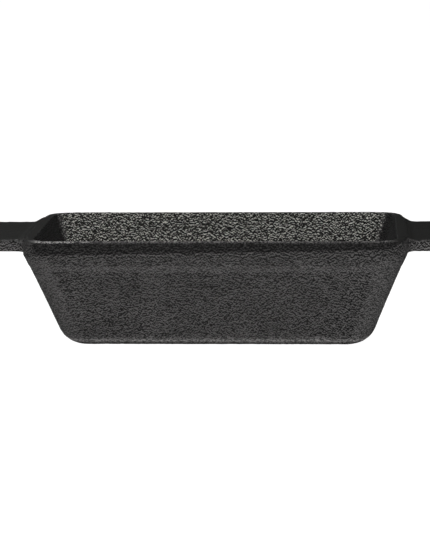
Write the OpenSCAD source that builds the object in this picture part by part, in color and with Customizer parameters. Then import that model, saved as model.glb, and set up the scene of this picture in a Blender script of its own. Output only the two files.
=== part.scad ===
// Cast iron loaf pan: a tapered rectangular tub with rounded corners, a thick
// shouldered rim and a wide flat handle at each end.
// The pan stands on z = 0, its long side lies along X, and the origin is the
// middle of the underside. The casting is drawn as regions that meet face to face.

/* [Cavity] */
// Length of the cavity at the rim
cavity_l = 229; // [210:1:250]
// Width of the cavity at the rim
cavity_w = 127; // [110:1:140]
// Corner radius of the cavity at the rim
cavity_r = 13; // [11:1:18]
// Slope of the cavity's walls, in degrees from upright
cavity_taper = 18; // [15:1:19]
// Radius between the cavity's walls and its floor
cavity_floor_r = 8; // [5:1:9]

/* [Walls] */
// Overall height
height = 71; // [66:1:76]
// Thickness of the floor
floor_t = 6; // [5:0.5:7]
// Thickness of the rim, from its inner edge to its outer face
rim_t = 6.5; // [5.5:0.25:7]
// Slope of the outer wall just below the rim, in degrees from upright
top_taper = 22.5; // [20:0.5:24]
// Slope of the outer wall at the foot, in degrees from upright
foot_taper = 20; // [18:0.5:21]
// Radius between the outer wall and the underside
foot_r = 17; // [12:1:17]

/* [Rim] */
// Height of the rounded shoulder on the outside of the rim
shoulder_h = 5.5; // [4:0.5:6.5]
// Radius of the rim's inner edge
rim_edge_r = 0.8; // [0.5:0.1:1.2]
// Depth below the crest at which the outer face starts to slope
rim_face_h = 10; // [8:0.25:10.5]
// Height of the rim band, down to its step
band_h = 16; // [14:0.5:18]
// Depth of the step under the rim band
step_t = 0.25; // [0.2:0.05:0.9]
// Height over which the step fades into the wall
step_h = 2.5; // [1.5:0.5:3]

/* [Handles] */
// Length of each handle beyond the rim
handle_l = 38; // [28:1:45]
// Width of each handle
handle_w = 83; // [70:1:90]
// Thickness of each handle
handle_t = 7.5; // [5:0.5:8]
// Depth of the handle's top below the rim's crest
handle_drop = 2.75; // [2:0.25:4]
// Radius of the handle's outer corners
handle_corner_r = 8; // [6:1:20]
// Radius of the fillet between the handle's side and the tub's corner
root_r = 10; // [6:1:14]

/* [Hidden] */

iron = [0.24, 0.24, 0.235];
corner_steps = 12;
arc_steps = 8;

rim_half_l = cavity_l / 2 + rim_t;
rim_half_w = cavity_w / 2 + rim_t;
rim_r = cavity_r + rim_t;
slope_top_z = height - rim_face_h;
step_low_z = height - band_h - step_h;
foot_top_z = foot_r * (1 - sin(foot_taper));
cavity_foot_z = floor_t + cavity_floor_r * (1 - sin(cavity_taper));
// The corners tighten a little as the walls draw in
corner_draw = 0.2;

// A rounded rectangle's outline at height z, counter-clockwise from above
function outline(half_l, half_w, r, z) = [
    for (corner = [0:3], i = [0:corner_steps])
        let (a = 90 * corner + 90 * i / corner_steps,
             side_x = corner == 0 || corner == 3 ? 1 : -1,
             side_y = corner < 2 ? 1 : -1)
        [side_x * (half_l - r) + r * cos(a), side_y * (half_w - r) + r * sin(a), z]
];

// How far the outer wall has drawn in from the rim's outer face at height z
function draw_in(z) =
    let (d = max(0, slope_top_z - z))
    d * tan(top_taper) - d * d * (tan(top_taper) - tan(foot_taper)) / (2 * slope_top_z);

// How much of the step under the rim band is reached at height z, eased at both ends
function step_in(z) =
    let (t = min(1, max(0, (height - band_h - z) / step_h)))
    step_t * t * t * (3 - 2 * t);

// How far the foot's rounding stands in from the wall's own line at height z
function foot_in(z) =
    z >= foot_top_z ? 0 :
    foot_r * (cos(foot_taper) - sqrt(1 - pow(1 - z / foot_r, 2))) - (foot_top_z - z) * tan(foot_taper);

// The outer surface's outline at height z, and the same inside the cavity
function outer_ring(z) =
    let (drawn = draw_in(z) + step_in(z), foot = foot_in(z))
    outline(rim_half_l - drawn - foot, rim_half_w - drawn - foot,
            rim_r - corner_draw * drawn - foot, z);

function cavity_in(z) = (height - z) * tan(cavity_taper);

function cavity_foot_in(z) =
    z >= cavity_foot_z ? 0 :
    cavity_floor_r * (cos(cavity_taper) - sqrt(max(0, 1 - pow(1 - (z - floor_t) / cavity_floor_r, 2))))
    - (cavity_foot_z - z) * tan(cavity_taper);

function cavity_ring(z) =
    let (drawn = cavity_in(z), foot = cavity_foot_in(z))
    outline(cavity_l / 2 - drawn - foot, cavity_w / 2 - drawn - foot,
            cavity_r - corner_draw * drawn - 0.6 * foot, z);

// The shoulder: a quarter ellipse from the outer face up to the crest, a = 0 to 90
function shoulder_ring(a) =
    let (inset = (rim_t - rim_edge_r) * (1 - cos(a)))
    outline(rim_half_l - inset, rim_half_w - inset, rim_r - inset,
            height - shoulder_h * (1 - sin(a)));

// The crest's inner edge, a quarter round that ends on the cavity wall, a = 0 to 90
function edge_ring(a) =
    let (outset = rim_edge_r * (1 - sin(a)), z = height - rim_edge_r * (1 - cos(a)),
         drawn = cavity_in(z) * (1 - cos(a)))
    outline(cavity_l / 2 + outset - drawn, cavity_w / 2 + outset - drawn,
            cavity_r + outset - corner_draw * drawn, z);

// Skin over a stack of outlines: a loop of them closes on itself, a stack gets two caps
module skin(rings, loop = false) {
    n = len(rings[0]);
    last = len(rings) - 1;
    sides = [
        for (k = [0:loop ? last : last - 1], i = [0:n - 1])
            let (up = (k + 1) % (last + 1), next = (i + 1) % n)
            [k * n + i, up * n + i, up * n + next, k * n + next]
    ];
    caps = loop ? [] : [[for (i = [0:n - 1]) i], [for (i = [n - 1:-1:0]) last * n + i]];
    polyhedron(points = [for (ring = rings) each ring], faces = concat(sides, caps), convexity = 6);
}

// Floor plate with the lower part of the rounded foot
module base() {
    color(iron)
        skin([for (i = [0:arc_steps]) outer_ring(floor_t * pow(i / arc_steps, 2))]);
}

// The four tapered walls as one ring, from the floor up to the rim band
module side_wall() {
    foot_zs = [for (i = [0:arc_steps]) floor_t + (foot_top_z - floor_t) * i / arc_steps];
    wall_zs = [for (i = [1:4]) foot_top_z + (step_low_z - foot_top_z) * i / 4];
    cavity_foot_zs = [
        for (i = [arc_steps:-1:0]) floor_t + (cavity_foot_z - floor_t) * pow(i / arc_steps, 2)
    ];
    color(iron)
        skin(concat(
            [for (z = concat(foot_zs, wall_zs)) outer_ring(z)],
            [cavity_ring(step_low_z)],
            [for (z = cavity_foot_zs) cavity_ring(z)]), loop = true);
}

// Outside of the rim: the step, the sloping band, the upright face and the shoulder
function rim_outside() = concat(
    [for (i = [0:4]) outer_ring(step_low_z + step_h * i / 4)],
    [for (i = [1:3]) outer_ring(height - band_h + (slope_top_z - height + band_h) * i / 3)],
    [for (i = [0:arc_steps]) shoulder_ring(90 * i / arc_steps)]);

// The rim: a ring on top of the walls
module rim() {
    color(iron)
        skin(concat(
            rim_outside(),
            [for (i = [1:4]) edge_ring(90 * i / 4)],
            [cavity_ring(step_low_z)]), loop = true);
}

// A handle's outline from above, with fillets that meet the tub's rounded corners
module handle_outline() {
    tip_x = rim_half_l + handle_l;
    half_w = handle_w / 2;
    corner_x = rim_half_l - rim_r;
    corner_y = rim_half_w - rim_r;
    fillet_y = half_w + root_r;
    fillet_x = corner_x + sqrt(pow(rim_r + root_r, 2) - pow(fillet_y - corner_y, 2));
    root_x = rim_half_l - rim_t;
    difference() {
        union() {
            hull() {
                for (side = [-1, 1])
                    translate([tip_x - handle_corner_r, side * (half_w - handle_corner_r)])
                        circle(r = handle_corner_r, $fn = 64);
                translate([root_x, -half_w])
                    square([1, handle_w]);
            }
            translate([root_x, -fillet_y])
                square([fillet_x - root_x, 2 * fillet_y]);
        }
        for (side = [-1, 1])
            translate([fillet_x, side * fillet_y])
                circle(r = root_r, $fn = 96);
    }
}

// A flat handle that ends on the rim's outer surface
module handle() {
    color(iron)
        difference() {
            translate([0, 0, height - handle_drop - handle_t])
                linear_extrude(handle_t)
                    handle_outline();
            skin(rim_outside());
        }
}

module right_handle() {
    handle();
}

module left_handle() {
    mirror([1, 0, 0])
        handle();
}

base();
side_wall();
rim();
left_handle();
right_handle();
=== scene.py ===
"""A cast iron loaf pan: one seasoned casting, shown as five closed pieces that meet face to face.

The casting is described as one implicit surface, negative inside the iron, in millimetres. It is
meshed on a grid that is finer round the rim, roughened like a sand casting, and cut into pieces.
"""
import math

import bmesh
import bpy
import numpy as np
from mathutils import Matrix, Vector


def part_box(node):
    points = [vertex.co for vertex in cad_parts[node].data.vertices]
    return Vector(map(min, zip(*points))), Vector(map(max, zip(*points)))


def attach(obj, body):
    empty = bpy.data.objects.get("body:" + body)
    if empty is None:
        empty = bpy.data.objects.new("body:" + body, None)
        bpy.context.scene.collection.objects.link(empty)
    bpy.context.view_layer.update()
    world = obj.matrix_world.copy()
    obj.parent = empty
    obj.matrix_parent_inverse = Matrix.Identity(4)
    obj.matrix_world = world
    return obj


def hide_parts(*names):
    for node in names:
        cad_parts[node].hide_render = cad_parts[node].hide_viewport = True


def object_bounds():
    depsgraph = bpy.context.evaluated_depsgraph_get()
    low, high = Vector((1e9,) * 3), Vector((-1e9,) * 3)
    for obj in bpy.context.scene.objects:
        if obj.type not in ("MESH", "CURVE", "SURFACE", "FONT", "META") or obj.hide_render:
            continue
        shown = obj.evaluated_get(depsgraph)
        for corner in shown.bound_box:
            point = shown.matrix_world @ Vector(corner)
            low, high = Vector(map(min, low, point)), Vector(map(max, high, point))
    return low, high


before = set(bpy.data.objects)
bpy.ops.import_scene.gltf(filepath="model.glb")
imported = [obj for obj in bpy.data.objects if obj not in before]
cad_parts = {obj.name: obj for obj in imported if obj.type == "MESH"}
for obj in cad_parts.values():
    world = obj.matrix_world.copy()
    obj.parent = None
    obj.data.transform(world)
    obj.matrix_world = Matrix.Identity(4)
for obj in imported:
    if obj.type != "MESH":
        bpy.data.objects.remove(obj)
cad_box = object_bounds()

MM = 1000.0

# Sizes that the frame gives, in millimetres
rim_low, rim_high = (np.array(corner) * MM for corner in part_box("rim"))
handle_low, handle_high = (np.array(corner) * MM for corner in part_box("right_handle"))
floor_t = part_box("base")[1][2] * MM
half_l, half_w, height = rim_high
tip_x = handle_high[0]
handle_top, handle_under = handle_high[2], handle_low[2]

# Sizes that the frame's boxes don't show, the same as the design's
RIM_T = 6.5
CAVITY_R = 13.0
RIM_R = CAVITY_R + RIM_T
CORNER_DRAW = 0.2
RIM_FACE_H = 10.0
BAND_H = 16.0
STEP_T, STEP_H = 0.25, 2.5
RIM_EDGE_R = 0.8
FOOT_R = 17.0
CAVITY_FLOOR_R = 8.0
TOP_TAPER, FOOT_TAPER, CAVITY_TAPER = (math.radians(a) for a in (22.5, 20.0, 18.0))
ROOT_R = 10.0
HANDLE_CORNER_R = 8.0
handle_half_w = handle_high[1] - ROOT_R

# Rounds that differ from the design's: the shoulder's, which is full along the sides and smaller
# from END_SHOULDER_REACH short of the ends on, and the handles' edges, which it leaves sharp
SHOULDER_R, END_SHOULDER_R = 5.4, 3.5
END_SHOULDER_REACH = 3.0
HANDLE_EDGE_R = 1.2

# The fillets where a handle meets the rim: under it, at its sides and on its top. One passes into
# the next over a height of ROOT_BLEND, and the first starts to change ROOT_LEAD below the handle.
ROOT_UNDER_R, ROOT_SIDE_R, ROOT_TOP_R = 3.0, 9.0, 6.0
ROOT_BLEND, ROOT_LEAD = 3.0, 1.0


# ---------- the shape of the casting ----------

def rounded_rect(x, y, half_x, half_y, r):
    """Distance in plan to a rounded rectangle, negative inside."""
    qx = np.abs(x) - half_x + r
    qy = np.abs(y) - half_y + r
    return np.hypot(np.maximum(qx, 0), np.maximum(qy, 0)) + np.minimum(np.maximum(qx, qy), 0) - r


def round_meet(a, b, r, cos_between=0.0):
    """Where both a and b are negative, with their edge rounded by r. cos_between is the cosine of
    the angle between the two surfaces' outward normals."""
    p, q = a + r, b + r
    spread = 1 - cos_between ** 2
    along_a = (p - cos_between * q) / spread
    along_b = (q - cos_between * p) / spread
    in_round = (along_a > 0) & (along_b > 0)
    rounded = np.sqrt(np.maximum(along_a * p + along_b * q, 0)) - r
    return np.where(in_round, rounded, np.maximum(a, b))


def round_join(a, b, r):
    """Where a or b is negative, with a fillet of radius r between them."""
    return -round_meet(-a, -b, r)


def ease(t):
    """0 up to t = 0 and 1 from t = 1 on, with a smooth step between."""
    t = np.clip(t, 0, 1)
    return t * t * (3 - 2 * t)


def rising(value, start, width):
    """0 up to the start, and 1 once the value is a width past it."""
    return ease((value - start) / width)


def falling(value, end, width):
    """1 until the value is a width short of the end, and 0 from the end on."""
    return ease((end - value) / width)


def drawn_in(z):
    """How far the outer wall has come in from the rim at height z."""
    slope_top_z = height - RIM_FACE_H
    top_slope, foot_slope = math.tan(TOP_TAPER), math.tan(FOOT_TAPER)
    down = np.maximum(slope_top_z - z, 0)
    drawn = down * top_slope - down ** 2 * (top_slope - foot_slope) / (2 * slope_top_z)
    return drawn + STEP_T * ease((height - BAND_H - z) / STEP_H)


def tub(x, y, z):
    """The outside of the tub, as if it were solid."""
    drawn = drawn_in(z)
    r = RIM_R - CORNER_DRAW * drawn
    leaning = np.where(z < height - RIM_FACE_H, math.cos(FOOT_TAPER), 1.0)
    wall = rounded_rect(x, y, half_l - drawn, half_w - drawn, r) * leaning
    with_foot = round_meet(wall, -z, FOOT_R, math.sin(FOOT_TAPER))
    # The shoulder is full along the sides and small at the ends, where the handles take over
    at_end = rising(np.abs(x), half_l - RIM_R, RIM_R - END_SHOULDER_REACH)
    shoulder_r = SHOULDER_R + (END_SHOULDER_R - SHOULDER_R) * at_end
    return round_meet(with_foot, z - height, shoulder_r)


def cavity(x, y, z):
    """The empty inside, as if it reached up past the rim."""
    drawn = (height - z) * math.tan(CAVITY_TAPER)
    r = CAVITY_R - CORNER_DRAW * drawn
    wall = rounded_rect(x, y, half_l - RIM_T - drawn, half_w - RIM_T - drawn, r)
    return round_meet(wall * math.cos(CAVITY_TAPER), floor_t - z, CAVITY_FLOOR_R, math.sin(CAVITY_TAPER))


def handles(x, y, z):
    """Both handles, as slabs that reach in under the rim."""
    root_x = half_l - 2 * RIM_T
    middle_x, half_reach = (tip_x + root_x) / 2, (tip_x - root_x) / 2
    plan = rounded_rect(np.abs(x) - middle_x, y, half_reach, handle_half_w, HANDLE_CORNER_R)
    slab = np.abs(z - (handle_top + handle_under) / 2) - (handle_top - handle_under) / 2
    return round_meet(plan, slab, HANDLE_EDGE_R)


def casting(x, y, z):
    """The whole casting: tub and handles joined with fillets, less the cavity."""
    at_sides = rising(z, handle_under - ROOT_LEAD, ROOT_BLEND)
    at_top = rising(z, handle_top - ROOT_BLEND, ROOT_BLEND)
    root_r = ROOT_UNDER_R + (ROOT_SIDE_R - ROOT_UNDER_R) * at_sides
    root_r = root_r + (ROOT_TOP_R - ROOT_SIDE_R) * at_top
    outside = round_join(tub(x, y, z), handles(x, y, z), root_r)
    return round_meet(outside, -cavity(x, y, z), RIM_EDGE_R, math.sin(CAVITY_TAPER))


def slope_of(x, y, z, reach=0.02):
    """Gradient of the implicit surface."""
    steps = reach * np.eye(3)
    return np.stack([
        (casting(x + dx, y + dy, z + dz) - casting(x - dx, y - dy, z - dz)) / (2 * reach)
        for dx, dy, dz in steps
    ], axis=-1)


# ---------- meshing ----------

# The grid, in millimetres: its steps, how far it runs past the shape, and small shifts that keep
# its planes off the middle planes
COARSE, FINE = 0.9, 0.55
GRID_MARGIN = 2
GRID_SHIFT_X, GRID_SHIFT_Y = 0.013, 0.017

# Where the fine steps start and stop: round the rim's ends, round its sides, and from the handles'
# undersides to the crest
FINE_FROM_X, FINE_TO_X = half_l - 8, half_l + 2
FINE_FROM_Y, FINE_TO_Y = half_w - 9, half_w + 1
FINE_FROM_Z, FINE_TO_Z = handle_under - 3, height + 1

# Settling the mesh on the surface: rounds, the least slope squared, and the longest step
SETTLE_ROUNDS, LEAST_SLOPE_SQUARED, LONGEST_STEP = 4, 0.05, 0.5


def grid_line(low, high, fine_from, fine_to):
    """Grid positions from low to high, fine apart from fine_from to fine_to and coarse elsewhere."""
    at = [low]
    while at[-1] < high:
        near = fine_from - COARSE <= at[-1] <= fine_to
        at.append(at[-1] + (FINE if near else COARSE))
    return np.array(at)


def surface_net(xs, ys, zs):
    """Vertices and quads of the implicit surface's zero level on the grid."""
    values = casting(*np.meshgrid(xs, ys, zs, indexing="ij"))
    inside = values < 0
    corners = [(i, j, k) for i in (0, 1) for j in (0, 1) for k in (0, 1)]
    nx, ny, nz = (n - 1 for n in values.shape)
    count = sum(inside[i:i + nx, j:j + ny, k:k + nz].astype(np.int8) for i, j, k in corners)
    ci, cj, ck = np.nonzero((count > 0) & (count < 8))
    number = np.full((nx, ny, nz), -1)
    number[ci, cj, ck] = np.arange(len(ci))

    lines = (xs, ys, zs)
    cell = (ci, cj, ck)
    total = np.zeros((len(ci), 3))
    crossings = np.zeros(len(ci))
    for start in corners:
        for axis in range(3):
            if start[axis]:
                continue
            stop = tuple(1 if n == axis else start[n] for n in range(3))
            a = values[tuple(c + s for c, s in zip(cell, start))]
            b = values[tuple(c + s for c, s in zip(cell, stop))]
            crosses = (a < 0) != (b < 0)
            share = np.where(crosses, a / np.where(crosses, a - b, 1), 0)
            point = [lines[n][cell[n] + start[n]] for n in range(3)]
            point[axis] = point[axis] + share * np.diff(lines[axis])[cell[axis]]
            total[crosses] += np.stack(point, axis=-1)[crosses]
            crossings += crosses
    points = total / crossings[:, None]

    quads = []
    for axis in range(3):
        u, v = (axis + 1) % 3, (axis + 2) % 3
        first = [slice(None)] * 3
        second = [slice(None)] * 3
        first[axis], second[axis] = slice(None, -1), slice(1, None)
        a, b = inside[tuple(first)], inside[tuple(second)]
        for mask, flip in ((a & ~b, False), (~a & b, True)):
            edge = np.stack(np.nonzero(mask), axis=-1)
            ring = []
            for back_u, back_v in ((1, 1), (0, 1), (0, 0), (1, 0)):
                at = edge.copy()
                at[:, u] -= back_u
                at[:, v] -= back_v
                ring.append(number[at[:, 0], at[:, 1], at[:, 2]])
            quads.append(np.stack(ring[::-1] if flip else ring, axis=-1))
    return points, np.concatenate(quads)


def settle(points):
    """Moves points onto the implicit surface, and gives them with their normals."""
    for _ in range(SETTLE_ROUNDS):
        x, y, z = points.T
        slope = slope_of(x, y, z)
        slope_squared = np.maximum((slope ** 2).sum(-1), LEAST_SLOPE_SQUARED)
        step = casting(x, y, z)[:, None] * slope / slope_squared[:, None]
        points = points - np.clip(step, -LONGEST_STEP, LONGEST_STEP)
    slope = slope_of(*points.T)
    return points, slope / np.linalg.norm(slope, axis=-1, keepdims=True)


# Lumps of the sand mould in the iron: size, depth and seed. GRAIN_GAIN brings the noise to about
# -1 to 1, and GRAIN_BIAS sinks the surface a little, so that the lumps don't widen the pan.
GRAINS = ((16.0, 0.06, 1), (5.0, 0.05, 2), (2.3, 0.10, 3))
GRAIN_GAIN = 1.8
GRAIN_BIAS = 0.2

# Large odd numbers that mix a grid cell and a seed into one random number
CELL_MIX = (73856093, 19349663, 83492791)
SEED_MIX, TURN_MIX, RISE_MIX = 2654435761, 1274126177, 40503
LOW_32, LOW_16 = 0xFFFFFFFF, 0xFFFF


def grain(points, size, seed):
    """Smooth noise from about -1 to 1 at points, with lumps of the given size."""
    at = points / size
    base = np.floor(at).astype(np.int64)
    within = at - base
    fade = within ** 3 * (within * (within * 6 - 15) + 10)
    total = np.zeros(len(points))
    for corner in np.ndindex(2, 2, 2):
        across, along, up = ((base + corner) * CELL_MIX).T
        mixed = across ^ along ^ up ^ (seed * SEED_MIX)
        mixed = (mixed ^ (mixed >> 13)) * TURN_MIX & LOW_32
        mixed = (mixed ^ (mixed >> 16)) & LOW_32
        turn = mixed / LOW_32 * 2 * math.pi
        rise = ((mixed * RISE_MIX) & LOW_16) / LOW_16 * 2 - 1
        flat = np.sqrt(1 - rise ** 2)
        lean = np.stack([flat * np.cos(turn), flat * np.sin(turn), rise], axis=-1)
        weight = np.prod(np.where(corner, fade, 1 - fade), axis=-1)
        total += weight * ((within - corner) * lean).sum(-1)
    return total * GRAIN_GAIN


def roughened(points, normals):
    """The surface with its cast roughness, kept inside the frame's own box."""
    depth = sum(deep * (grain(points, size, seed) - GRAIN_BIAS) for size, deep, seed in GRAINS)
    low, high = (np.array(corner) * MM for corner in cad_box)
    return np.clip(points + normals * depth[:, None], low, high)


# Where the shares below rise or fall. A pair is the value where a share starts or ends and the
# width it takes. Lengths are in millimetres, and a facing is a part of the surface's normal.

# Outside and inside, by the depth behind the cavity's wall. Inside, the painted light on the
# grain gives way to painted shade at the ends as the wall turns to face the other end, a little
# earlier at the right end.
OUTSIDE = (3.0, 2.0)
CAVITY_SKIN, UNDER_EDGE = (1.6, 1.6), (0.1, 0.5)
PAINTED_LIGHT_UNTIL, SHADE_FROM = (0.42, 0.3), (0.45, 0.3)
RIGHT_END_BIAS = 0.13

# The handles, by the distance past the rim's ends
HANDLE_ZONE, HANDLE_SIDE_ZONE = (-11.0, 4.0), (-4.0, 4.0)
SIDE_FACING, TOP_FACING = (0.2, 0.3), (0.55, 0.3)
HANDLE_EDGE_DEPTH, HANDLE_EDGE_WIDTH = 0.5, 1.5

# The painted glint along the crest, a painted highlight strongest at the front left
CREST_DEPTH, GLINT_DEPTH, CREST_WIDTH = 0.55, 0.3, 0.3
CREST_OFF_EDGE = (0.4, 1.2)
CREST_HIGHLIGHT, FRONT_HIGHLIGHT, GLINT_HIGHLIGHT = 0.02, 0.23, 0.75
GLINT_LENGTH, GLINT_FADE, FRONT_WIDTH = 48.0, 20.0, 20.0

# The painted shade band on the shoulder: it gets shallower to the right and fades out at both ends
SHOULDER_DEPTH, SHOULDER_SLANT, SHOULDER_WIDTH = 8.0, 1.9, 2.0
SHOULDER_RISE, RISE_LENGTH, RISE_WIDTH = 3.5, 14.0, 12.0
SHOULDER_TOP_GAP, SHOULDER_TOP_WIDTH = 0.2, 0.4
SHOULDER_LEFT, SHOULDER_RIGHT, SHOULDER_FADE = 5.0, 3.0, 5.0

# Painted sheen on the outside's corners and step, which starts under the rim's upright face, and
# on the foot, with a painted highlight line along the foot
CORNER_WIDTH, BELOW_FACE_WIDTH = 5.0, 3.0
STEP_BAND = (3.2, 2.0)
FOOT_TOP, FOOT_LOW, UNDER_FOOT = (8.0, 3.0), (0.8, 0.8), (3.0, 0.6)
FOOT_LINE_Z = 4.3
FOOT_LINE_BAND = (1.05, 0.7)

# How strong the painted highlight or painted shade is on the remaining parts, next to the strongest
HANDLE_HIGHLIGHT, FOOT_HIGHLIGHT, FOOT_LINE_HIGHLIGHT = 0.055, 0.035, 0.12
CAVITY_END_SHADE, UNDER_FOOT_SHADE = 0.95, 0.9


def surface_masks(points, normals):
    """Shares from 0 to 1 that tell the material where it is: painted light on the grain of the cavity's
    long sides and floor, a painted highlight on the rim's crest, the foot and the handles' sides,
    painted shade on the shoulder under the crest, the cavity's ends and the underside, smooth iron
    with painted shade on the tops of the handles, and painted sheen on the outside's corners, step
    and foot."""
    x, y, z = points.T
    across, along = normals[:, 0], np.abs(normals[:, 1])
    below_crest = height - z
    past_end = np.abs(x) - half_l
    into_iron = cavity(x, y, z)
    outside = rising(into_iron, *OUTSIDE)

    in_cavity = falling(into_iron, *CAVITY_SKIN) * rising(below_crest, *UNDER_EDGE)
    end_facing = np.abs(across) - RIGHT_END_BIAS * np.sign(across)
    # Painted light on the grain of the cavity's long sides and floor, painted shade on its ends
    cavity_painted_light = in_cavity * (1 - rising(end_facing, *PAINTED_LIGHT_UNTIL))
    cavity_end = in_cavity * rising(end_facing, *SHADE_FROM)

    at_handle = rising(past_end, *HANDLE_ZONE)
    # A painted highlight on the handles' sides
    handle_side = rising(along, *SIDE_FACING) * rising(past_end, *HANDLE_SIDE_ZONE)
    handle_side = handle_side * falling(z, handle_top - HANDLE_EDGE_DEPTH, HANDLE_EDGE_WIDTH)
    # The handles' tops: smooth iron, and also painted darker as painted shade
    smooth = rising(normals[:, 2], *TOP_FACING) * at_handle

    # A painted glint along the crest, strongest at the front left
    front = falling(y, 0, FRONT_WIDTH)
    glint = falling(x, GLINT_LENGTH - half_l, GLINT_FADE) * front
    crest_depth = CREST_DEPTH + GLINT_DEPTH * glint
    highlight_strength = CREST_HIGHLIGHT + FRONT_HIGHLIGHT * front + GLINT_HIGHLIGHT * glint
    crest = falling(below_crest, crest_depth, CREST_WIDTH) * rising(into_iron, *CREST_OFF_EDGE)
    crest = crest * (1 - at_handle) * highlight_strength

    # A painted shade band on the shoulder under the crest
    shoulder_depth = SHOULDER_DEPTH - SHOULDER_SLANT * x / half_l
    shoulder_depth = shoulder_depth - SHOULDER_RISE * rising(x, half_l - RISE_LENGTH, RISE_WIDTH)
    shoulder = falling(below_crest, shoulder_depth, SHOULDER_WIDTH)
    shoulder = shoulder * rising(below_crest, crest_depth - SHOULDER_TOP_GAP, SHOULDER_TOP_WIDTH)
    shoulder = shoulder * rising(x, SHOULDER_LEFT - half_l, SHOULDER_FADE)
    shoulder = shoulder * falling(x, half_l + SHOULDER_RIGHT, SHOULDER_FADE)
    shoulder = shoulder * outside * (1 - handle_side)
    # Painted shade low on the outside, under the foot
    under_foot = outside * falling(z, *UNDER_FOOT)

    # Painted sheen on the outside's corners, step and foot, and a painted highlight line along the foot
    drawn = drawn_in(z)
    from_sides = np.minimum(np.abs(x) - half_l + drawn, np.abs(y) - half_w + drawn)
    at_corner = ease((from_sides + RIM_R - CORNER_DRAW * drawn) / CORNER_WIDTH)
    from_step = np.abs(z - height + BAND_H + STEP_H / 2)
    at_step = falling(from_step, *STEP_BAND)
    at_foot = falling(z, *FOOT_TOP) * rising(z, *FOOT_LOW)
    foot_line = falling(np.abs(z - FOOT_LINE_Z), *FOOT_LINE_BAND)
    painted_sheen = np.maximum(np.maximum(at_corner, at_step), at_foot)
    painted_sheen = painted_sheen * rising(below_crest, RIM_FACE_H, BELOW_FACE_WIDTH) * outside
    foot_highlight = (FOOT_HIGHLIGHT * at_foot + FOOT_LINE_HIGHLIGHT * foot_line) * outside
    # Painted shade on the cavity's ends and under the foot
    shade_inside_or_under = np.maximum(CAVITY_END_SHADE * cavity_end, UNDER_FOOT_SHADE * under_foot)
    return {
        "cavity_painted_light": cavity_painted_light,
        "painted_highlight": np.maximum(np.maximum(crest, HANDLE_HIGHLIGHT * handle_side), foot_highlight),
        "painted_sheen": painted_sheen,
        "painted_shade": np.maximum(shoulder, shade_inside_or_under),
        "smooth": smooth,
    }


def casting_mesh():
    """The whole casting as one closed mesh, with its smooth normals and the material's masks kept
    as attributes."""
    xs = grid_line(0, tip_x + GRID_MARGIN, FINE_FROM_X, FINE_TO_X)
    ys = grid_line(0, half_w + GRID_MARGIN, FINE_FROM_Y, FINE_TO_Y)
    zs = grid_line(-GRID_MARGIN, height + GRID_MARGIN, FINE_FROM_Z, FINE_TO_Z)
    xs = np.concatenate([-xs[:0:-1], xs]) + GRID_SHIFT_X
    ys = np.concatenate([-ys[:0:-1], ys]) + GRID_SHIFT_Y
    points, quads = surface_net(xs, ys, zs)
    points, normals = settle(points)
    masks = surface_masks(points, normals)
    points = roughened(points, normals) / MM
    mesh = bpy.data.meshes.new("casting")
    mesh.vertices.add(len(points))
    mesh.vertices.foreach_set("co", points.ravel())
    mesh.loops.add(quads.size)
    mesh.loops.foreach_set("vertex_index", quads.ravel())
    mesh.polygons.add(len(quads))
    mesh.polygons.foreach_set("loop_start", np.arange(0, quads.size, 4))
    mesh.update(calc_edges=True)
    mesh.validate()
    vertex_normals = np.empty(len(points) * 3, np.float32)
    mesh.vertices.foreach_get("normal", vertex_normals)
    kept = mesh.attributes.new("smooth_normal", "FLOAT_VECTOR", "POINT")
    kept.data.foreach_set("vector", vertex_normals)
    for name, share in masks.items():
        kept = mesh.attributes.new(name, "FLOAT", "POINT")
        kept.data.foreach_set("value", share.astype(np.float32))
    return mesh


# How far past a cut the rough cut lies, and how near two points count as one, in metres
CUT_MARGIN = 4 / MM
SAME_POINT = 1e-7


def cut_piece(name, whole, cuts):
    """A closed piece of the casting. Each cut is a point and a normal, and what lies on the normal's
    side is left off. The cut faces are closed, and the rest keeps the whole casting's normals."""
    bm = bmesh.new()
    bm.from_mesh(whole)
    # What lies well past a cut goes first, so that the cut has less to work through
    for at, normal in cuts:
        at, normal = Vector(at), Vector(normal)
        far = [v for v in bm.verts if (v.co - at).dot(normal) > CUT_MARGIN]
        bmesh.ops.delete(bm, geom=far, context="VERTS")
    capped = []
    for at, normal in cuts:
        everything = bm.verts[:] + bm.edges[:] + bm.faces[:]
        cut = bmesh.ops.bisect_plane(
            bm, geom=everything, dist=SAME_POINT, plane_co=at, plane_no=normal, clear_outer=True)
        edges = [part for part in cut["geom_cut"] if isinstance(part, bmesh.types.BMEdge)]
        capped += close_cut(bm, [edge for edge in edges if edge.is_boundary], Vector(normal))
    for face in bm.faces:
        face.smooth = True
    for face in capped:
        face.smooth = False
    mesh = bpy.data.meshes.new(name)
    capped_numbers = mark_caps(bm, capped)
    bm.to_mesh(mesh)
    bm.free()
    restore_normals(mesh, capped_numbers)
    piece = bpy.data.objects.new(name, mesh)
    bpy.context.scene.collection.objects.link(piece)
    return piece


def close_cut(bm, edges, normal):
    """Closes one planar cut: a ring-shaped one by bridging its two loops, any other by filling it."""
    loops = edge_loops(edges)
    level = abs(normal.z) > 0.5
    if level and len(loops) == 2:
        faces = bmesh.ops.bridge_loops(bm, edges=edges)["faces"]
    else:
        faces = []
        for loop in loops:
            faces += bmesh.ops.contextual_create(bm, geom=loop)["faces"]
    faces = bmesh.ops.triangulate(bm, faces=faces)["faces"]
    for face in faces:
        face.normal_update()
        if face.normal.dot(normal) < 0:
            face.normal_flip()
    return faces


def edge_loops(edges):
    """Sorts boundary edges into separate loops."""
    left = set(edges)
    loops = []
    while left:
        stack = [left.pop()]
        loop = []
        while stack:
            edge = stack.pop()
            loop.append(edge)
            near = {e for v in edge.verts for e in v.link_edges if e in left}
            left -= near
            stack += near
        loops.append(loop)
    return loops


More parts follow.
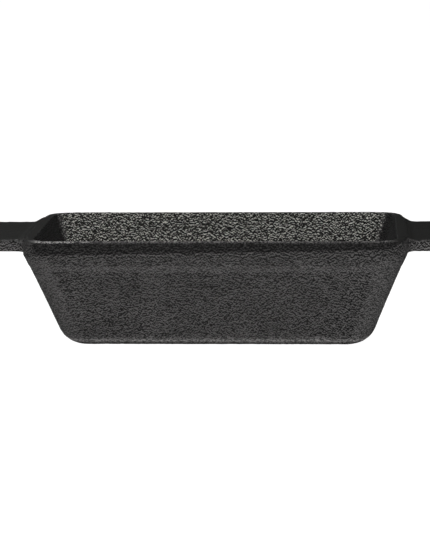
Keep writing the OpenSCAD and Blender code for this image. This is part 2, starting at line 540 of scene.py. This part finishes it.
def mark_caps(bm, capped):
    """The numbers of the cut faces."""
    bm.faces.index_update()
    return np.array(sorted(face.index for face in capped if face.is_valid), dtype=int)


def restore_normals(mesh, capped):
    """Every corner takes the whole casting's normal, apart from the flat cut faces' corners."""
    smooth = np.empty(len(mesh.vertices) * 3, np.float32)
    mesh.attributes["smooth_normal"].data.foreach_get("vector", smooth)
    smooth = smooth.reshape(-1, 3)
    vertex_of = np.empty(len(mesh.loops), np.int32)
    mesh.loops.foreach_get("vertex_index", vertex_of)
    starts = np.empty(len(mesh.polygons), np.int32)
    sizes = np.empty(len(mesh.polygons), np.int32)
    mesh.polygons.foreach_get("loop_start", starts)
    mesh.polygons.foreach_get("loop_total", sizes)
    normals = smooth[vertex_of]
    for number in capped:
        normals[starts[number]:starts[number] + sizes[number]] = mesh.polygons[number].normal
    normals /= np.maximum(np.linalg.norm(normals, axis=-1, keepdims=True), 1e-6)
    mesh.normals_split_custom_set(normals)
    mesh.attributes.remove(mesh.attributes["smooth_normal"])


# ---------- materials ----------

# The iron's noise: how it is stretched, its scales in lumps per metre, and the patches' detail
GRAIN_STRETCH = (0.8, 0.8, 1.25)
PEBBLE_SCALE, FINE_SCALE, PATCH_SCALE = 1150.0, 1900.0, 45.0
PEBBLE_DISTORTION, FINE_ROUGHNESS = 0.5, 0.6
FINE_DETAIL, PATCH_DETAIL = 2.0, 4.0

# A grain's slope is the noise's drop over this height in metres, next to a usual drop
SLOPE_STEP = 0.00085
USUAL_DROP = 0.15

# Tones that follow the slope or the patches: at one value and at another, and the tones there.
# The slope's tones are painted relief shading; the patches are the iron's own uneven tone.
OUTER_TONE = (0.72, -0.62, -1.1, 2.8)
SHADE_RELIEF_TONE = (0.1, -0.8, -0.2, 6.3)
PATCH_TONE = (0.3, 0.7, 0.88, 1.12)
LEAST_TONE = 0.02

# Inside the cavity the tone is e to the power of the slope times the gain, less the drop: painted
# relief shading, with painted glints on the grains' upper sides
INNER_GAIN, INNER_DROP = 3.5, 1.9

# How much of the grain's contrast the smooth handle tops and the parts with painted sheen keep
SMOOTH_CONTRAST, SHEEN_CONTRAST = 0.2, 0.6

# How light a share makes the iron where it is 1, next to the plain outside's grey. Each is
# painted light or shade: painted light in the cavity, a painted highlight, painted shade, painted
# shade on the smooth handle tops, and painted sheen.
REGION_TONES = {"cavity_painted_light": 2.05, "painted_highlight": 9.5, "painted_shade": 0.17, "smooth": 0.45, "painted_sheen": 1.55}
IRON_GREY, LIGHTEST_GREY = 0.033, 0.7

# Green and blue next to red: first outside, then inside the cavity and on the handles' tops
GREEN_SHARE = (0.965, 1.0)
BLUE_SHARE = (0.955, 0.93)

# Roughness outside and inside the cavity, and how the other shares change it
OUTER_ROUGHNESS, INNER_ROUGHNESS = 0.55, 0.36
SHADE_ROUGHENS, SMOOTH_ROUGHENS, HIGHLIGHT_ROUGHENS = 1.7, 0.6, 0.6

# Bump depths in metres, and their strengths: first on the rough iron, then on the handles' tops
PEBBLE_DEPTH, FINE_DEPTH = 0.0016, 0.0003
PEBBLE_STRENGTH = (1.0, 0.05)
FINE_STRENGTH = (0.8, 0.15)


def node_maker(material):
    """A short way to add and join nodes: make(type, inputs, settings) gives the node."""
    tree = material.node_tree

    def make(kind, inputs=None, **settings):
        made = tree.nodes.new(kind)
        for key, value in settings.items():
            setattr(made, key, value)
        for key, value in (inputs or {}).items():
            if isinstance(value, bpy.types.NodeSocket):
                tree.links.new(value, made.inputs[key])
            else:
                made.inputs[key].default_value = value
        return made

    return make


def seasoned_iron():
    """Black seasoned cast iron: a near-black oil skin over fine sand-cast grain. Its colour also
    holds painted light and shade, on the grains' slopes and in the masked parts.
    """
    material = bpy.data.materials.new("seasoned_iron")
    material.use_nodes = True
    material.node_tree.nodes.clear()
    make = node_maker(material)
    coords = make("ShaderNodeTexCoord").outputs["Object"]

    def place(higher):
        """Where the noise is read, higher up by as many metres. The grain lies a little flattened."""
        shift = (0, 0, higher * GRAIN_STRETCH[2])
        mapping = {"Vector": coords, "Scale": GRAIN_STRETCH, "Location": shift}
        return make("ShaderNodeMapping", mapping).outputs["Vector"]

    def noise(at, scale, detail=0.0, roughness=0.5, distortion=0.0):
        return make("ShaderNodeTexNoise", {
            "Vector": at, "Scale": scale, "Detail": detail, "Roughness": roughness,
            "Distortion": distortion}).outputs["Fac"]

    def spread(value, low, high, to_low, to_high):
        """to_low where the value is low, to_high where it is high, and no further past either."""
        return make("ShaderNodeMapRange", {
            "Value": value, "From Min": low, "From Max": high,
            "To Min": to_low, "To Max": to_high}).outputs["Result"]

    def blend(share, a, b):
        """a where share is 0, b where it is 1."""
        return make("ShaderNodeMapRange", {"Value": share, "To Min": a, "To Max": b}).outputs["Result"]

    def calculate(operation, a, b):
        return make("ShaderNodeMath", {0: a, 1: b}, operation=operation).outputs[0]

    def times(first, *others):
        """The product of all of them."""
        for other in others:
            first = calculate("MULTIPLY", first, other)
        return first

    shares = {}
    for name in REGION_TONES:
        shares[name] = make("ShaderNodeAttribute", attribute_name=name).outputs["Fac"]
    # The shares: painted light in the cavity, painted highlights, painted shade, smooth handle tops with
    # painted shade, and painted sheen
    cavity_painted_light, painted_highlight, painted_shade, smooth, painted_sheen = shares.values()

    here, above = place(0.0), place(SLOPE_STEP)
    pebbles = noise(here, PEBBLE_SCALE, distortion=PEBBLE_DISTORTION)
    pebbles_above = noise(above, PEBBLE_SCALE, distortion=PEBBLE_DISTORTION)
    fine = noise(here, FINE_SCALE, FINE_DETAIL, FINE_ROUGHNESS)
    patches = noise(here, PATCH_SCALE, PATCH_DETAIL)

    # The slope is positive on a grain's upper side. Its tones are painted relief shading: inside the
    # cavity the upper side is painted lighter, and outside the lower side is, because the glowing
    # floor lights it.
    slope = calculate("DIVIDE", calculate("SUBTRACT", pebbles, pebbles_above), USUAL_DROP)
    inner_tone = calculate("POWER", math.e, calculate("SUBTRACT", times(slope, INNER_GAIN), INNER_DROP))
    outer_tone = calculate("MAXIMUM", spread(slope, *OUTER_TONE), LEAST_TONE)
    shade_relief = calculate("MAXIMUM", spread(slope, *SHADE_RELIEF_TONE), LEAST_TONE)
    contrast = times(blend(smooth, 1.0, SMOOTH_CONTRAST), blend(painted_sheen, 1.0, SHEEN_CONTRAST))
    painted_relief = blend(contrast, 1.0, blend(cavity_painted_light, blend(painted_shade, outer_tone, shade_relief), inner_tone))
    region_tone = times(*(blend(shares[name], 1.0, tone) for name, tone in REGION_TONES.items()))
    grey = times(painted_relief, region_tone, spread(patches, *PATCH_TONE), IRON_GREY)
    grey = calculate("MINIMUM", grey, LIGHTEST_GREY)

    olive = calculate("MAXIMUM", cavity_painted_light, smooth)
    green = times(grey, blend(olive, *GREEN_SHARE))
    blue = times(grey, blend(olive, *BLUE_SHARE))
    colour = make("ShaderNodeCombineColor", {"Red": grey, "Green": green, "Blue": blue})
    roughness = times(
        blend(cavity_painted_light, OUTER_ROUGHNESS, INNER_ROUGHNESS), blend(painted_shade, 1.0, SHADE_ROUGHENS),
        blend(smooth, 1.0, SMOOTH_ROUGHENS), blend(painted_highlight, 1.0, HIGHLIGHT_ROUGHENS))

    relief = make("ShaderNodeBump", {
        "Height": pebbles, "Strength": blend(smooth, *PEBBLE_STRENGTH), "Distance": PEBBLE_DEPTH})
    relief = make("ShaderNodeBump", {
        "Height": fine, "Strength": blend(smooth, *FINE_STRENGTH), "Distance": FINE_DEPTH,
        "Normal": relief.outputs["Normal"]})
    shader = make("ShaderNodeBsdfPrincipled", {
        "Base Color": colour.outputs["Color"], "Roughness": roughness,
        "Normal": relief.outputs["Normal"], "Specular IOR Level": 0.5, "IOR": 1.45})
    make("ShaderNodeOutputMaterial", {"Surface": shader.outputs["BSDF"]})
    return material


# ---------- the pan ----------

# The base's piece ends above the round of the cavity's floor, and the handles' pieces start a
# little outside the rim
BASE_PIECE_TOP = 13.0
HANDLE_GAP = 3.0


def build_pan():
    """Cuts the casting into one piece for each of the design's five."""
    whole = casting_mesh()
    iron = seasoned_iron()
    base_top = BASE_PIECE_TOP / MM
    band_foot = rim_low[2] / MM
    root_x = (half_l + HANDLE_GAP) / MM
    right, left = ((root_x, 0, 0), (1, 0, 0)), ((-root_x, 0, 0), (-1, 0, 0))
    plans = {
        "base": [((0, 0, base_top), (0, 0, 1))],
        "side_wall": [((0, 0, base_top), (0, 0, -1)), ((0, 0, band_foot), (0, 0, 1))],
        "rim": [((0, 0, band_foot), (0, 0, -1)), right, left],
        "left_handle": [(left[0], (1, 0, 0))],
        "right_handle": [(right[0], (-1, 0, 0))],
    }
    for node, cuts in plans.items():
        piece = cut_piece(node + "_casting", whole, cuts)
        piece.data.materials.append(iron)
        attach(piece, "root")
        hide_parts(node)


# ---------- studio ----------

# The floor and the backdrop, in metres: the backdrop starts a little below the floor
FLOOR_SIZE = 60
BACKDROP_R, BACKDROP_H, BACKDROP_SUNK = 12, 20, 0.1
BACKDROP_SIDES = 96

STAGE_GREY, STAGE_ROUGHNESS, STAGE_GLOW = 0.3, 0.9, 1.0
WORLD_STRENGTH = 0.03

# The lights: name, place, width and height in metres, and power in watts
LIGHTS = (
    ("front_softbox", (0, -1.9, 1.0), (1.6, 0.45), 28),
    ("left_softbox", (-1.5, -1.3, 0.9), (0.7, 0.8), 1.5),
    ("right_softbox", (1.5, -1.3, 0.9), (0.7, 0.8), 3),
    ("back_strip", (0, 1.2, 1.5), (2.4, 0.25), 3),
    ("left_kicker", (-0.75, 1.25, 1.55), (0.35, 0.35), 5),
)
LIGHT_TARGET = (0, 0, 0.04)


def build_floor():
    """A pale glowing floor, with a pale round backdrop far away that only the camera sees."""
    bpy.ops.mesh.primitive_plane_add(size=FLOOR_SIZE, location=(0, 0, 0))
    floor = bpy.context.object
    floor.name = "floor"
    bpy.ops.mesh.primitive_cylinder_add(
        vertices=BACKDROP_SIDES, radius=BACKDROP_R, depth=BACKDROP_H, end_fill_type="NOTHING",
        location=(0, 0, BACKDROP_H / 2 - BACKDROP_SUNK))
    backdrop = bpy.context.object
    backdrop.name = "backdrop"
    material = bpy.data.materials.new("white_floor")
    material.use_nodes = True
    shader = material.node_tree.nodes["Principled BSDF"]
    shader.inputs["Base Color"].default_value = (STAGE_GREY, STAGE_GREY, STAGE_GREY, 1)
    shader.inputs["Roughness"].default_value = STAGE_ROUGHNESS
    shader.inputs["Specular IOR Level"].default_value = 0.0
    shader.inputs["Emission Color"].default_value = (1, 1, 1, 1)
    shader.inputs["Emission Strength"].default_value = STAGE_GLOW
    for stage in (floor, backdrop):
        stage.data.materials.append(material)
        stage.visible_glossy = False
    backdrop.visible_diffuse = False
    backdrop.visible_shadow = False


def area_light(name, at, size, power):
    """A soft rectangular light that faces the pan."""
    light = bpy.data.lights.new(name, "AREA")
    light.shape = "RECTANGLE"
    light.size, light.size_y = size
    light.energy = power
    lamp = bpy.data.objects.new(name, light)
    lamp.location = at
    away = Vector(at) - Vector(LIGHT_TARGET)
    lamp.rotation_euler = away.to_track_quat("Z", "Y").to_euler()
    bpy.context.scene.collection.objects.link(lamp)


def build_lights():
    """A faint white surround and the softboxes."""
    world = bpy.data.worlds.new("studio")
    bpy.context.scene.world = world
    world.use_nodes = True
    background = world.node_tree.nodes["Background"]
    background.inputs["Color"].default_value = (1, 1, 1, 1)
    background.inputs["Strength"].default_value = WORLD_STRENGTH
    for name, at, size, power in LIGHTS:
        area_light(name, at, size, power)


# The camera: where it stands in metres, how it turns in degrees, and its lens in millimetres
CAMERA_AT = (0.0886, -1.5205, 0.2954)
CAMERA_TURN, CAMERA_TILT, CAMERA_ROLL = 3.444, 9.405, -0.571
CAMERA_LENS, CAMERA_SENSOR = 158.97, 36
CAMERA_NEAR, CAMERA_FAR = 0.05, 200


def build_camera():
    """A camera that looks along +y, turned to the left, tilted down and rolled."""
    turn, tilt, roll = (math.radians(a) for a in (CAMERA_TURN, CAMERA_TILT, CAMERA_ROLL))
    flat = math.cos(tilt)
    ahead = Vector((-math.sin(turn) * flat, math.cos(turn) * flat, -math.sin(tilt)))
    level = Vector((math.cos(turn), math.sin(turn), 0))
    upright = level.cross(ahead)
    right = level * math.cos(roll) + upright * math.sin(roll)
    up = upright * math.cos(roll) - level * math.sin(roll)
    data = bpy.data.cameras.new("camera")
    data.lens = CAMERA_LENS
    data.sensor_width = CAMERA_SENSOR
    data.clip_start, data.clip_end = CAMERA_NEAR, CAMERA_FAR
    camera = bpy.data.objects.new("camera", data)
    facing = Matrix((right, up, -ahead)).transposed().to_4x4()
    camera.matrix_world = Matrix.Translation(CAMERA_AT) @ facing
    bpy.context.scene.collection.objects.link(camera)
    bpy.context.scene.camera = camera


build_pan()
build_floor()
build_lights()
build_camera()
bpy.context.scene.view_settings.view_transform = "Standard"
